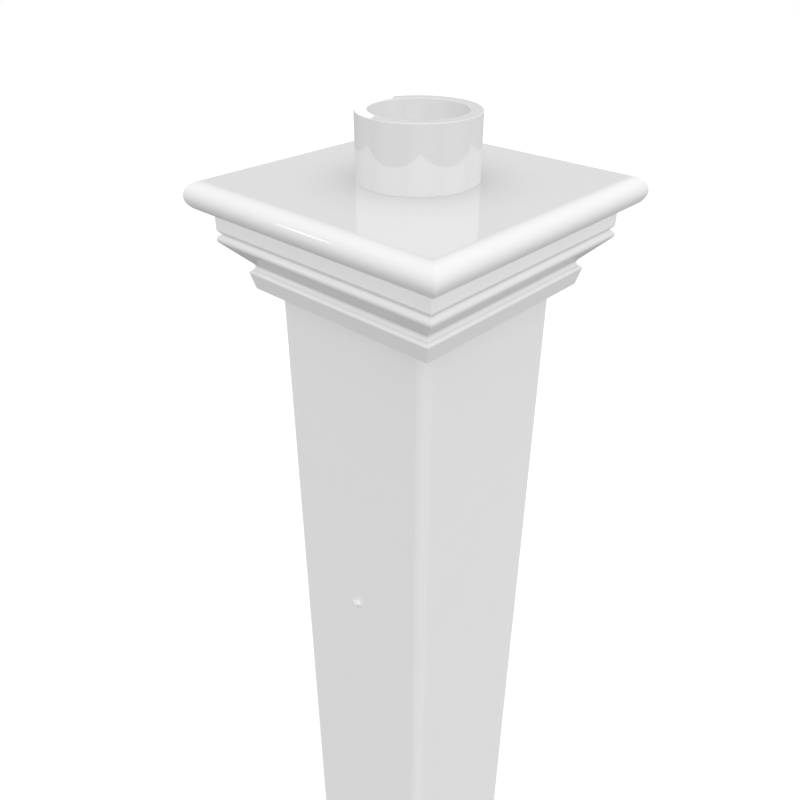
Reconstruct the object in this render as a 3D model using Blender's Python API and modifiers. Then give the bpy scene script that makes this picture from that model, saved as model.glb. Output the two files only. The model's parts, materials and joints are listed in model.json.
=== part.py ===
"""Post cap with a round lamp collar, seated on the head of its hollow square post.

Units are metres and +Z is up. The origin is the centre of the post's foot. The front face looks
along -Y, the right face along +X. Heights are counted down from the top board's flat top.
"""

import math

import bmesh
import bpy
from mathutils import Matrix

MM = 0.001
GAP = 0.3 * MM  # clearance between touching pieces

# Post
POST_HALF = 63.5 * MM
POST_WALL = 3.8 * MM
POST_CORNER = 7.0 * MM
POST_FIT = 0.5 * MM  # sliding clearance between the post and the cap around it

# Top board and collar
TOP_Z = 680.0 * MM  # height of the top board's flat top above the post's foot
BOARD_HALF = 101.6 * MM
BOARD_THICK = 19.05 * MM
CABLE_HOLE_R = 15.9 * MM
COLLAR_R = 38.1 * MM
COLLAR_BORE_R = 30.2 * MM
COLLAR_HEIGHT = 40.6 * MM

# Deck plate, on which the cap rests
DECK_HALF = 79.3 * MM
DECK_THICK = 9.5 * MM

# Fascia strips
FASCIA_OUT = 89.1 * MM
FASCIA_IN = 79.6 * MM
FASCIA_EDGE = 31.2 * MM  # depth of the lower edge, where the chamfer starts
FASCIA_CHAMFER = 1.8 * MM
FASCIA_FOOT = 33.6 * MM

# Crown lengths: a bead, a 45 degree slope and a neck
BEAD_OUT = 86.1 * MM
BEAD_DEPTH = 37.4 * MM
BEAD_R = 3.3 * MM
CROWN_BACK = 80.5 * MM
CROWN_WALL = 9.7 * MM  # vertical thickness of the sloping part
NECK_OUT = 73.5 * MM
NECK_TOP = 55.3 * MM
NECK_LOW = 56.4 * MM
CROWN_FOOT = 58.0 * MM
CROWN_FOOT_OUT = 74.7 * MM

# Drip bands
DRIP_TOP_OUT = 75.0 * MM
DRIP_TIP_OUT = 76.8 * MM
DRIP_TIP = 59.7 * MM
DRIP_TIP_LAND = 0.3 * MM
DRIP_FOOT_OUT = 73.9 * MM
DRIP_FOOT = 71.2 * MM

# Core boards, the inner box that locates the cap on the post
CORE_OUT = 73.0 * MM
CORE_FOOT = 44.0 * MM

# Screws
SCREW_R = 2.0 * MM
HEAD_R = 4.0 * MM
HEAD_HEIGHT = 2.6 * MM
TIP_LENGTH = 2.0 * MM
DECK_SCREW_AT = 45.0 * MM
DECK_SCREW_BITE = 11.0 * MM
COLLAR_SCREW_BITE = 12.0 * MM
FACE_SCREW_DEPTH = 312.5 * MM
FACE_SCREW_LENGTH = 32.0 * MM
FACE_HEAD_R = 3.4 * MM

# Block inside the post
BLOCK_HALF = 59.3 * MM
BLOCK_HEIGHT = 38.0 * MM
BLOCK_HOLE_R = 30.0 * MM

# Heights that several pieces share
DECK_TOP = TOP_Z - BOARD_THICK - GAP
DECK_FOOT = DECK_TOP - DECK_THICK
COLLAR_BASE = TOP_Z + GAP
CAP_INNER = POST_HALF + POST_FIT

CUTTER_MARGIN = 5.0 * MM
CUTTER_LENGTH = 400.0 * MM  # longer than anything it cuts
ROUND_SIDES = 64
HOLE_SIDES = 16
ARC_STEPS = 6
BULLNOSE_STEPS = 6
BULLNOSE_LAND = 0.05 * MM  # half the flat left between the two rounded edges

SIDES = {"front": 0, "right": 90, "back": 180, "left": 270}  # turned about Z, in degrees

WHITE_VINYL = ("white_vinyl", (0.83, 0.83, 0.84), 0.18, 0.0)
VINYL_BOARD = ("vinyl_board", (0.74, 0.74, 0.73), 0.45, 0.0)
ZINC_STEEL = ("zinc_steel", (0.62, 0.63, 0.64), 0.35, 1.0)
WHITE_PAINTED_STEEL = ("white_painted_steel", (0.80, 0.80, 0.80), 0.25, 0.0)


def clear_scene():
    for old in list(bpy.data.objects):
        bpy.data.objects.remove(old, do_unlink=True)


def new_collection(name):
    made = bpy.data.collections.new(name)
    bpy.context.scene.collection.children.link(made)
    return made


def finish_material(name, colour, roughness, metallic):
    made = bpy.data.materials.new(name)
    made.use_nodes = True
    shader = made.node_tree.nodes["Principled BSDF"]
    shader.inputs["Base Color"].default_value = (*colour, 1.0)
    shader.inputs["Roughness"].default_value = roughness
    shader.inputs["Metallic"].default_value = metallic
    return made


def take(name, collection):
    """Name the object that an operator has just made and move it to its collection."""
    made = bpy.context.active_object
    made.name = name
    made.data.name = name
    for holder in list(made.users_collection):
        holder.objects.unlink(made)
    collection.objects.link(made)
    return made


def box(name, collection, size, centre):
    bpy.ops.mesh.primitive_cube_add(size=1.0, location=centre)
    made = take(name, collection)
    made.data.transform(Matrix.Diagonal((*size, 1.0)))
    return made


def rod(name, collection, radius, length, centre, sides=HOLE_SIDES):
    """An upright cylinder with its middle at centre."""
    bpy.ops.mesh.primitive_cylinder_add(
        vertices=sides, radius=radius, depth=length, location=centre
    )
    return take(name, collection)


def arc(centre, radius, start, end, steps=ARC_STEPS):
    """Points on a circle between two angles in degrees."""
    turns = [math.radians(start + (end - start) * i / steps) for i in range(steps + 1)]
    return [
        (centre[0] + radius * math.cos(t), centre[1] + radius * math.sin(t)) for t in turns
    ]


def prism(name, collection, outlines, length):
    """A flat outline, with any further outlines as holes, extruded along its own Z."""
    curve = bpy.data.curves.new(name + "_outline", "CURVE")
    curve.dimensions = "2D"
    curve.fill_mode = "BOTH"
    curve.extrude = length / 2
    for outline in outlines:
        spline = curve.splines.new("POLY")
        spline.points.add(len(outline) - 1)
        for point, (x, y) in zip(spline.points, outline):
            point.co = (x, y, 0.0, 1.0)
        spline.use_cyclic_u = True
    drawn = bpy.data.objects.new(name + "_outline", curve)
    collection.objects.link(drawn)
    bpy.context.view_layer.update()
    graph = bpy.context.evaluated_depsgraph_get()
    mesh = bpy.data.meshes.new_from_object(drawn.evaluated_get(graph))
    bpy.data.objects.remove(drawn)
    weld(mesh)
    mesh.name = name
    made = bpy.data.objects.new(name, mesh)
    collection.objects.link(made)
    return made


def weld(mesh):
    """Join the loose caps of a converted curve to its sides."""
    shell = bmesh.new()
    shell.from_mesh(mesh)
    bmesh.ops.remove_doubles(shell, verts=shell.verts, dist=0.001 * MM)
    bmesh.ops.recalc_face_normals(shell, faces=shell.faces)
    shell.to_mesh(mesh)
    shell.free()


def turned(name, collection, profile, steps=ROUND_SIDES):
    """A closed profile of (radius, height) points turned about Z, outer side first, top to bottom."""
    mesh = bpy.data.meshes.new(name)
    points = [(r, 0.0, z) for r, z in profile]
    edges = [(i, (i + 1) % len(points)) for i in range(len(points))]
    mesh.from_pydata(points, edges, [])
    made = bpy.data.objects.new(name, mesh)
    collection.objects.link(made)
    screw = made.modifiers.new("turn", "SCREW")
    screw.steps = steps
    screw.render_steps = steps
    screw.use_merge_vertices = True
    screw.merge_threshold = 0.01 * MM
    return made


def cut(piece, cutter, operation="DIFFERENCE"):
    boolean = piece.modifiers.new(cutter.name, "BOOLEAN")
    boolean.operation = operation
    boolean.solver = "EXACT"
    boolean.object = cutter


def dress(piece, material):
    """Give the piece its material, and smooth its round faces."""
    piece.data.materials.clear()
    piece.data.materials.append(material)
    piece.data.shade_smooth()
    piece.data.set_sharp_from_angle(angle=math.radians(30))


def pan_screw(name, collection, length, head_r, material):
    """A pan-head screw standing on the origin's height with its tip up and its head below."""
    rim_height = 0.45 * HEAD_HEIGHT
    dome_height = 0.9 * HEAD_HEIGHT
    dome_r = 0.6 * head_r
    profile = [
        (0.0, length),
        (SCREW_R, length - TIP_LENGTH),
        (SCREW_R, 0.0),
        (head_r, 0.0),
        (head_r, -rim_height),
        (dome_r, -dome_height),
        (0.0, -HEAD_HEIGHT),
    ]
    made = turned(name, collection, profile, HOLE_SIDES)
    dress(made, material)
    return made


def hide_cutters(cutters):
    for cutter in cutters.objects:
        cutter.hide_render = True
        cutter.display_type = "WIRE"


# ---------------------------------------------------------------- post


def rounded_square(half, radius):
    inset = half - radius
    corners = ((inset, inset, 0), (-inset, inset, 90), (-inset, -inset, 180), (inset, -inset, 270))
    points = []
    for x, y, start in corners:
        points += arc((x, y), radius, start, start + 90)
    return points


def make_post(parts, cutters, vinyl, board, painted):
    head = DECK_FOOT - GAP
    sleeve = prism(
        "post_sleeve",
        parts,
        [
            rounded_square(POST_HALF, POST_CORNER),
            rounded_square(POST_HALF - POST_WALL, POST_CORNER - POST_WALL),
        ],
        head,
    )
    sleeve.location.z = head / 2
    block = prism(
        "stiffener_block",
        parts,
        [
            rounded_square(BLOCK_HALF, POST_CORNER - POST_WALL),
            arc((0, 0), BLOCK_HOLE_R, 0, 360 - 360 / ROUND_SIDES, ROUND_SIDES - 1),
        ],
        BLOCK_HEIGHT,
    )
    block.location.z = TOP_Z - FACE_SCREW_DEPTH
    bore = rod(
        "face_screw_bore",
        cutters,
        SCREW_R + GAP,
        CUTTER_LENGTH,
        (0, 0, TOP_Z - FACE_SCREW_DEPTH),
    )
    bore.rotation_euler.x = math.radians(90)
    cut(sleeve, bore)
    cut(block, bore)
    dress(sleeve, vinyl)
    dress(block, board)
    for side in ("front", "back"):
        screw = pan_screw(
            "face_screw_" + side, parts, FACE_SCREW_LENGTH, FACE_HEAD_R, painted
        )
        turn = math.radians(SIDES[side])
        seat = POST_HALF + GAP
        screw.rotation_euler = (math.radians(-90), 0, turn)
        screw.location = (seat * math.sin(turn), -seat * math.cos(turn), block.location.z)


# ---------------------------------------------------------------- mitred strips of the cap


def mitre_wedge(name, cutters):
    """The quarter of the plan in front of the post, set back half a gap from both mitre planes."""
    size = CUTTER_LENGTH
    wedge = box(name, cutters, (size, size, size), (0, 0, 0))
    wedge.data.transform(Matrix.Rotation(math.radians(45), 4, "Z"))
    back_off = (size + GAP) / math.sqrt(2)
    wedge.data.transform(Matrix.Translation((0, -back_off, 0)))
    return wedge


def place_side(piece, side):
    piece.rotation_euler.z = math.radians(SIDES[side])
    piece.location.z = TOP_Z


def mitred_strip(name, side, parts, wedges, outline, material):
    """A moulding of (distance out, depth below the top) outline, mitred at both ends."""
    section = [(out, -depth) for out, depth in outline]
    strip = prism(name, parts, [section], 2 * BOARD_HALF + CUTTER_MARGIN)
    out, up, along = (0, -1, 0), (0, 0, 1), (-1, 0, 0)
    strip.data.transform(Matrix((out, up, along)).transposed().to_4x4())
    place_side(strip, side)
    cut(strip, wedges[side], "INTERSECT")
    dress(strip, material)
    return strip


def fascia_outline():
    return [
        (FASCIA_IN, BOARD_THICK + GAP),
        (FASCIA_IN, FASCIA_FOOT),
        (FASCIA_OUT - FASCIA_CHAMFER, FASCIA_FOOT),
        (FASCIA_OUT, FASCIA_EDGE),
        (FASCIA_OUT, BOARD_THICK + GAP),
    ]


def bead_arc():
    """From the bead's top round to where the 45 degree slope leaves it."""
    return [(out, -height) for out, height in arc((BEAD_OUT, -BEAD_DEPTH), BEAD_R, 90, -45)]


def crown_outline():
    top = BEAD_DEPTH - BEAD_R
    slope_out, slope_depth = bead_arc()[-1]
    slope_foot = slope_depth + slope_out - NECK_OUT
    back_foot = slope_depth + slope_out - CAP_INNER - CROWN_WALL
    back_top = back_foot - (CROWN_BACK - CAP_INNER)
    neck_bend = 0.8 * MM
    outline = [(CROWN_BACK, top)]
    outline += bead_arc()
    outline += [
        (NECK_OUT + neck_bend, slope_foot - neck_bend),
        (NECK_OUT, NECK_TOP),
        (NECK_OUT, NECK_LOW),
        (CROWN_FOOT_OUT, CROWN_FOOT),
        (CAP_INNER, CROWN_FOOT),
        (CAP_INNER, back_foot),
        (CROWN_BACK, back_top),
    ]
    return outline


def drip_outline():
    top = CROWN_FOOT + GAP
    return [
        (CAP_INNER, top),
        (DRIP_TOP_OUT, top),
        (DRIP_TIP_OUT, DRIP_TIP),
        (DRIP_TIP_OUT, DRIP_TIP + DRIP_TIP_LAND),
        (DRIP_FOOT_OUT, DRIP_FOOT),
        (CAP_INNER, DRIP_FOOT),
    ]


def core_outline():
    top = BOARD_THICK + DECK_THICK + 2 * GAP
    return [(CAP_INNER, top), (CORE_OUT, top), (CORE_OUT, CORE_FOOT), (CAP_INNER, CORE_FOOT)]


def make_mouldings(parts, cutters, vinyl, board):
    wedges = {}
    for side in SIDES:
        wedges[side] = mitre_wedge("mitre_wedge_" + side, cutters)
        place_side(wedges[side], side)
    rows = (
        ("fascia", fascia_outline(), vinyl),
        ("crown", crown_outline(), vinyl),
        ("drip_band", drip_outline(), vinyl),
        ("core_board", core_outline(), board),
    )
    made = []
    for name, outline, material in rows:
        for side in SIDES:
            made.append(
                mitred_strip(f"{name}_{side}", side, parts, wedges, outline, material)
            )
    return made


# ---------------------------------------------------------------- top board, deck plate, collar


def bullnose_board(name, collection):
    """A square board whose level edges are all rounded to half its thickness."""
    board = box(
        name,
        collection,
        (2 * BOARD_HALF, 2 * BOARD_HALF, BOARD_THICK),
        (0, 0, TOP_Z - BOARD_THICK / 2),
    )
    weights = board.data.attributes.new("bevel_weight_edge", "FLOAT", "EDGE")
    corners = board.data.vertices
    for edge in board.data.edges:
        low, high = (corners[i].co.z for i in edge.vertices)
        weights.data[edge.index].value = 1.0 if abs(low - high) < GAP else 0.0
    round_over = board.modifiers.new("bullnose", "BEVEL")
    round_over.limit_method = "WEIGHT"
    round_over.offset_type = "OFFSET"
    round_over.width = BOARD_THICK / 2 - BULLNOSE_LAND
    round_over.segments = BULLNOSE_STEPS
    return board


def make_board_and_deck(parts, cutters, vinyl, board):
    top_board = bullnose_board("top_board", parts)
    deck = box(
        "deck_plate",
        parts,
        (2 * DECK_HALF, 2 * DECK_HALF, DECK_THICK),
        (0, 0, (DECK_TOP + DECK_FOOT) / 2),
    )
    cable_hole = rod(
        "cable_hole", cutters, CABLE_HOLE_R, CUTTER_LENGTH, (0, 0, TOP_Z), ROUND_SIDES // 2
    )
    cut(top_board, cable_hole)
    cut(deck, cable_hole)
    dress(top_board, vinyl)
    dress(deck, board)
    return top_board, deck


def make_collar(parts, vinyl):
    profile = [
        (COLLAR_R, COLLAR_BASE + COLLAR_HEIGHT),
        (COLLAR_R, COLLAR_BASE),
        (COLLAR_BORE_R, COLLAR_BASE),
        (COLLAR_BORE_R, COLLAR_BASE + COLLAR_HEIGHT),
    ]
    collar = turned("collar_ring", parts, profile)
    dress(collar, vinyl)
    return collar


def drive_screw(name, place, grip, pieces, parts, cutters, steel):
    """A screw driven up from under the deck, with a clearance hole in every piece it enters."""
    x, y = place
    foot = DECK_FOOT - CUTTER_MARGIN
    top = DECK_FOOT + grip + GAP
    hole = rod(name + "_hole", cutters, SCREW_R + GAP, top - foot, (x, y, (top + foot) / 2))
    for piece in pieces:
        cut(piece, hole)
    screw = pan_screw(name, parts, grip, HEAD_R, steel)
    screw.location = (x, y, DECK_FOOT - GAP)
    return screw


def make_cap_screws(top_board, deck, collar, parts, cutters, steel):
    corner = DECK_SCREW_AT
    corners = ((corner, corner), (-corner, corner), (-corner, -corner), (corner, -corner))
    deck_grip = DECK_THICK + GAP + DECK_SCREW_BITE
    wall = (COLLAR_R + COLLAR_BORE_R) / 2
    round_wall = ((wall, 0.0), (0.0, wall), (-wall, 0.0), (0.0, -wall))
    collar_grip = COLLAR_BASE - DECK_FOOT + COLLAR_SCREW_BITE
    rows = (
        ("deck_screw", corners, deck_grip, (deck, top_board)),
        ("collar_screw", round_wall, collar_grip, (deck, top_board, collar)),
    )
    screws = []
    for kind, places, grip, pieces in rows:
        for number, place in enumerate(places, 1):
            name = f"{kind}_{number}"
            screws.append(drive_screw(name, place, grip, pieces, parts, cutters, steel))
    return screws


def main():
    clear_scene()
    parts = new_collection("lamp_post_cap")
    cutters = new_collection("cutters")
    vinyl = finish_material(*WHITE_VINYL)
    board = finish_material(*VINYL_BOARD)
    steel = finish_material(*ZINC_STEEL)
    painted = finish_material(*WHITE_PAINTED_STEEL)

    make_post(parts, cutters, vinyl, board, painted)
    cap = make_mouldings(parts, cutters, vinyl, board)
    top_board, deck = make_board_and_deck(parts, cutters, vinyl, board)
    collar = make_collar(parts, vinyl)
    cap += [top_board, deck, collar]
    cap += make_cap_screws(top_board, deck, collar, parts, cutters, steel)

    lift = bpy.data.objects.new("cap_lift", None)
    parts.objects.link(lift)
    for piece in cap:
        piece.parent = lift
    hide_cutters(cutters)


main()
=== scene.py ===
# %% [markdown]
# # A post cap with a lamp collar, on its square post
# This file builds the looks of a white vinyl post cap: a square top board with a half-round
# edge, a fascia, a crown moulding and a drip band under it, and a short round collar on top
# that a post lantern slides over. The engineering model is loaded first and never moved. Every
# finer piece made here takes its size and place from that model, then rides on one of its
# bodies, "post" or "cap".

# %% Load the engineering model
import json
import math

import bmesh
import bpy
from mathutils import Matrix, Vector

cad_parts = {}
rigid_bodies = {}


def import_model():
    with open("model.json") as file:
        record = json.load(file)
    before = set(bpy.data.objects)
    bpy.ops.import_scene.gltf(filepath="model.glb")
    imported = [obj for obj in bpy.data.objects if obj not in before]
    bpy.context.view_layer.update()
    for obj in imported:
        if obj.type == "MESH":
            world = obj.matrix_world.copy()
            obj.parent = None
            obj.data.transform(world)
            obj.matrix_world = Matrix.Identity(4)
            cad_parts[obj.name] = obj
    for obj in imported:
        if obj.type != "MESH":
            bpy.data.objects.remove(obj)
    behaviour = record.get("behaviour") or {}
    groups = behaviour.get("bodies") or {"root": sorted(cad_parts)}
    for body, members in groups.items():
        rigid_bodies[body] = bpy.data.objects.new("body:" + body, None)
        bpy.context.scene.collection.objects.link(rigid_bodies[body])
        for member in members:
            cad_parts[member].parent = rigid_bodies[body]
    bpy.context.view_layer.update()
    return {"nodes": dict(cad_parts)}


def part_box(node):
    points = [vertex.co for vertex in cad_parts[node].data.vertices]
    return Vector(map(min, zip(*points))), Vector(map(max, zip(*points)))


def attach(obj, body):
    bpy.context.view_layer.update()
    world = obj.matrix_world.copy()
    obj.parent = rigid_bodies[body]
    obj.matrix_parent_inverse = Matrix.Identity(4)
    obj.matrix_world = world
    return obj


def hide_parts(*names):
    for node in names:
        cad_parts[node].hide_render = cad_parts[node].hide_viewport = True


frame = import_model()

MM = 0.001

# %% [markdown]
# ## Reading sizes from the model
# A maker measures the blank before cutting the trim. The front face of the post looks along -Y,
# so "how far out" a front piece reaches is minus its low Y.

# %% Driving sizes
board_low, board_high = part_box("top_board")
post_low, post_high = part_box("post_sleeve")
collar_low, collar_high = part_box("collar_ring")
TOP = board_high.z
BOARD_HALF = board_high.x
BOARD_THICK = board_high.z - board_low.z
POST_HALF = post_high.x
COLLAR_R = collar_high.x
SEAM = 0.08 * MM  # hairline left at a glued mitre
print(f"top board {2 * BOARD_HALF / MM:.1f} mm square, {BOARD_THICK / MM:.2f} mm thick")
print(f"post {2 * POST_HALF / MM:.1f} mm square, collar {2 * COLLAR_R / MM:.1f} mm across")

# %% [markdown]
# ## The camera
# The view looks down on one corner of the cap from close by. A 36 mm lens on a 36 mm wide sensor
# sees wide, and at this distance the post tapers away downwards. The camera stands near the
# diagonal between the front and the right face.

# %% Camera
CAMERA_OUT = Vector((0.32302, -0.36316))
CAMERA_UP = 0.14249
CAMERA_TURN = math.radians(42.94)
CAMERA_DOWN = math.radians(31.84)

lens = bpy.data.cameras.new("view_camera")
lens.lens = 36.0
lens.sensor_width = 36.0
lens.clip_start = 0.01
camera = bpy.data.objects.new("view_camera", lens)
bpy.context.scene.collection.objects.link(camera)
camera.location = (CAMERA_OUT.x, CAMERA_OUT.y, TOP + CAMERA_UP)
camera.rotation_euler = (math.pi / 2 - CAMERA_DOWN, 0, CAMERA_TURN)
bpy.context.scene.camera = camera
print("camera at", [round(v, 3) for v in camera.location])

# %% [markdown]
# ## Light like a white studio tent
# The cap is shot in an even white tent. Direct light does all the work here: with bounced light
# on, the white top board would throw so much back at the collar that the collar would burn out,
# so diffuse bounces are switched off. Four kinds of lamp are used:
#
# - an overhead softbox, whose soft shade gathers round the collar and under the crown
# - a high key light over the near corner, which casts no shadow
# - a circle of level lamps and one from below, which light each face by the way it looks
# - a low distant lamp and a panel behind, which show only as glints in the glossy vinyl
#
# A lamp that shouldn't show in the gloss is hidden from glossy rays, and a glint lamp is hidden
# from diffuse rays, so each job can be set without spoiling the other.

# %% World
world = bpy.data.worlds.new("white_tent")
bpy.context.scene.world = world
world.use_nodes = True
world.cycles_visibility.diffuse = False
world.cycles_visibility.glossy = False
world.node_tree.nodes["Background"].inputs["Color"].default_value = (1, 1, 1, 1)
bpy.context.scene.view_settings.view_transform = "Standard"
bpy.context.scene.cycles.diffuse_bounces = 0
print("the world is plain white, and only the camera sees it")

# %% Lamps
def compass(turn, height):
    """A unit vector towards a lamp: turn is from the front face's side towards the right."""
    a, e = math.radians(turn), math.radians(height)
    return Vector((math.sin(a) * math.cos(e), -math.cos(a) * math.cos(e), math.sin(e)))


def place_lamp(name, lamp, away, in_gloss):
    made = bpy.data.objects.new(name, lamp)
    bpy.context.scene.collection.objects.link(made)
    made.rotation_euler = away.to_track_quat("Z", "Y").to_euler()
    made.visible_glossy = in_gloss
    made.visible_diffuse = not in_gloss
    return made


def distant_lamp(name, turn, height, strength, spread=1.0, shadow=False, in_gloss=False):
    lamp = bpy.data.lights.new(name, "SUN")
    lamp.energy = strength
    lamp.angle = math.radians(spread)
    lamp.use_shadow = shadow
    return place_lamp(name, lamp, compass(turn, height), in_gloss)


def panel(name, turn, height, distance, size, radiance, roll):
    """A flat glowing square that faces the cap. Radiance is what a mirror would show of it."""
    lamp = bpy.data.lights.new(name, "AREA")
    lamp.shape = "SQUARE"
    lamp.size = size
    lamp.energy = radiance * math.pi * size**2
    away = compass(turn, height)
    made = place_lamp(name, lamp, away, True)
    made.location = Vector((0, 0, TOP)) + distance * away
    made.rotation_euler.rotate_axis("Z", math.radians(roll))
    return made


OVERHEAD = 1.47
OVERHEAD_SPREAD = 100
KEY = 1.57
LEVEL_COUNT = 12
LEVEL_HEIGHT = 2.8
LEVEL = 0.665
LEVEL_BACK = 0.089  # what the lamps behind gain and those in front lose
WEAKEST_TURN = 9.4
BELOW = 0.30
GLINT = 0.014

distant_lamp("overhead_softbox", 0, 90, OVERHEAD, spread=OVERHEAD_SPREAD, shadow=True)
distant_lamp("key_light", 43.3, 67.4, KEY)
for number in range(LEVEL_COUNT):
    turn = number * 360 / LEVEL_COUNT
    strength = LEVEL - LEVEL_BACK * math.cos(math.radians(turn - WEAKEST_TURN))
    distant_lamp(f"level_lamp_{number + 1}", turn, LEVEL_HEIGHT, strength)
distant_lamp("lamp_from_below", 0, -90, BELOW)
distant_lamp("left_glint", -46.8, 9.0, GLINT, spread=4, in_gloss=True)
panel("back_panel", -133.85, 9.24, distance=3.0, size=0.36, radiance=3.5, roll=42)

# %% [markdown]
# ## The table
# A plain white sheet under the post, which glows a little so that no shadow shows on it. Neither
# its light nor its mirror image reaches the cap and the post.

# %% Table
TABLE_HALF = 6.0
TABLE_GLOW = 0.2
TABLE_GAP = 0.2 * MM  # keeps the sheet off the foot of the post

sheet = bmesh.new()
bmesh.ops.create_grid(sheet, x_segments=1, y_segments=1, size=TABLE_HALF)
table_mesh = bpy.data.meshes.new("white_table")
sheet.to_mesh(table_mesh)
sheet.free()
table = bpy.data.objects.new("white_table", table_mesh)
bpy.context.scene.collection.objects.link(table)
table.location.z = -TABLE_GAP
table.visible_glossy = False
table.visible_diffuse = False
table_paint = bpy.data.materials.new("white_table_paint")
table_paint.use_nodes = True
table_shader = table_paint.node_tree.nodes["Principled BSDF"]
table_shader.inputs["Base Color"].default_value = (0.9, 0.9, 0.9, 1)
table_shader.inputs["Roughness"].default_value = 0.9
table_shader.inputs["Emission Color"].default_value = (1, 1, 1, 1)
table_shader.inputs["Emission Strength"].default_value = TABLE_GLOW
table_mesh.materials.append(table_paint)
print("table", 2 * TABLE_HALF, "m square")

# %% [markdown]
# ## Small helpers for node trees
# Geometry and shader trees are both made of nodes and links, so the same three helpers serve
# both: one plugs a socket or sets its value, one adds a node, one does a sum. A socket is found
# by its name or its number.

# %% Node helpers
def feed(tree, socket, value):
    """Plug another node's output into the socket, or set a plain value on it."""
    if isinstance(value, bpy.types.NodeSocket):
        tree.links.new(value, socket)
    else:
        socket.default_value = value


def add(tree, kind, feeds=None, **settings):
    """A node with its settings made and its inputs fed."""
    made = tree.nodes.new(kind)
    for name, value in settings.items():
        setattr(made, name, value)
    for key, value in (feeds or {}).items():
        feed(tree, made.inputs[key], value)
    return made


def sum_of(tree, operation, first, second=0.0):
    return add(tree, "ShaderNodeMath", {0: first, 1: second}, operation=operation).outputs[0]


def new_group(name, kind, takes, gives):
    """A node tree with named inputs and outputs. Each is (name, socket type, default)."""
    tree = bpy.data.node_groups.new(name, kind)
    for label, socket_type, default in takes:
        socket = tree.interface.new_socket(label, in_out="INPUT", socket_type=socket_type)
        if default is not None:
            socket.default_value = default
    for label, socket_type in gives:
        tree.interface.new_socket(label, in_out="OUTPUT", socket_type=socket_type)
    inputs = tree.nodes.new("NodeGroupInput")
    outputs = tree.nodes.new("NodeGroupOutput")
    return tree, inputs.outputs, outputs.inputs


print("node helpers ready")

# %% [markdown]
# ## Finishes
# Everything that shows is vinyl. Extruded vinyl is smooth, glossy and almost the same white all
# over, so its detail is quiet: a faint cloudiness in the colour, a shallow orange-peel ripple
# from the mould or die, and fine die lines along the length of an extrusion. Several finishes
# share these in different amounts, so they are two node groups, each built once.

# %% Node group: cloudy tone
def cloud_group():
    """A colour that drifts a little lighter and darker from place to place."""
    tree, takes, gives = new_group(
        "cloudy tone",
        "ShaderNodeTree",
        [
            ("Tone", "NodeSocketColor", (0.8, 0.8, 0.8, 1.0)),
            ("Drift", "NodeSocketFloat", 0.02),
            ("Patches per Metre", "NodeSocketFloat", 20.0),
        ],
        [("Color", "NodeSocketColor")],
    )
    place = add(tree, "ShaderNodeTexCoord")
    cloud = add(
        tree,
        "ShaderNodeTexNoise",
        {"Vector": place.outputs["Object"], "Scale": takes["Patches per Metre"], "Detail": 3.0},
    )
    centred = sum_of(tree, "SUBTRACT", cloud.outputs["Fac"], 0.5)
    gain = sum_of(tree, "ADD", sum_of(tree, "MULTIPLY", centred, takes["Drift"]), 1.0)
    tinted = add(tree, "ShaderNodeVectorMath", {0: takes["Tone"]}, operation="SCALE")
    feed(tree, tinted.inputs["Scale"], gain)
    feed(tree, gives["Color"], tinted.outputs["Vector"])
    return tree


cloudy = cloud_group()
print("group made:", cloudy.name)

# %% Node group: extruded skin
def skin_group():
    """The height and gloss of a moulded or extruded skin: ripple all over, die lines along Z."""
    tree, takes, gives = new_group(
        "extruded skin",
        "ShaderNodeTree",
        [
            ("Gloss", "NodeSocketFloat", 0.05),
            ("Gloss Drift", "NodeSocketFloat", 0.02),
            ("Ripple", "NodeSocketFloat", 0.5),
            ("Die Lines", "NodeSocketFloat", 0.5),
        ],
        [("Height", "NodeSocketFloat"), ("Roughness", "NodeSocketFloat")],
    )
    place = add(tree, "ShaderNodeTexCoord")
    ripple = add(
        tree,
        "ShaderNodeTexNoise",
        {"Vector": place.outputs["Object"], "Scale": 55.0, "Detail": 1.0},
    )
    squash = add(
        tree,
        "ShaderNodeMapping",
        {"Vector": place.outputs["Object"], "Scale": (420.0, 420.0, 1.5)},
    )
    lines = add(
        tree,
        "ShaderNodeTexNoise",
        {"Vector": squash.outputs["Vector"], "Scale": 1.0, "Detail": 2.0},
    )
    raised = sum_of(tree, "MULTIPLY", ripple.outputs["Fac"], takes["Ripple"])
    scored = sum_of(tree, "MULTIPLY", lines.outputs["Fac"], takes["Die Lines"])
    feed(tree, gives["Height"], sum_of(tree, "ADD", raised, scored))
    patch = add(
        tree,
        "ShaderNodeTexNoise",
        {"Vector": place.outputs["Object"], "Scale": 12.0, "Detail": 2.0},
    )
    shift = sum_of(tree, "MULTIPLY", patch.outputs["Fac"], takes["Gloss Drift"])
    feed(tree, gives["Roughness"], sum_of(tree, "ADD", shift, takes["Gloss"]))
    return tree


skin = skin_group()
print("group made:", skin.name)

# %% [markdown]
# ## White vinyl
# The cap's parts are smooth; the post is an extrusion, so its die lines run up and down. The
# tones differ a little from piece to piece, and this is painted light and shade: the fascia is
# painted lightest, the crown and the collar are painted a shade greyer, and the inside of the
# collar is painted darker for the shade inside the tube, and is also duller.
# The plain numbers of the shader, such as its index of refraction, are set on the shader itself
# and don't pass through a group. This vinyl mirrors its surroundings almost as much face on as at
# a glancing angle. A plain dielectric would mirror strongly only at a glance, so the usual
# specular is off and a small metallic share stands in.

# %% Vinyl finishes
def grey(level):
    """An even grey as a colour, from 0 for black to 1 for white."""
    return (level, level, level, 1.0)


VINYL_TONE = grey(0.80)
VINYL_IOR = 1.55
EVEN_GLOSS = 0.12
RIPPLE = 0.6
CAP_GLOSS = 0.012  # a very smooth skin


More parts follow.
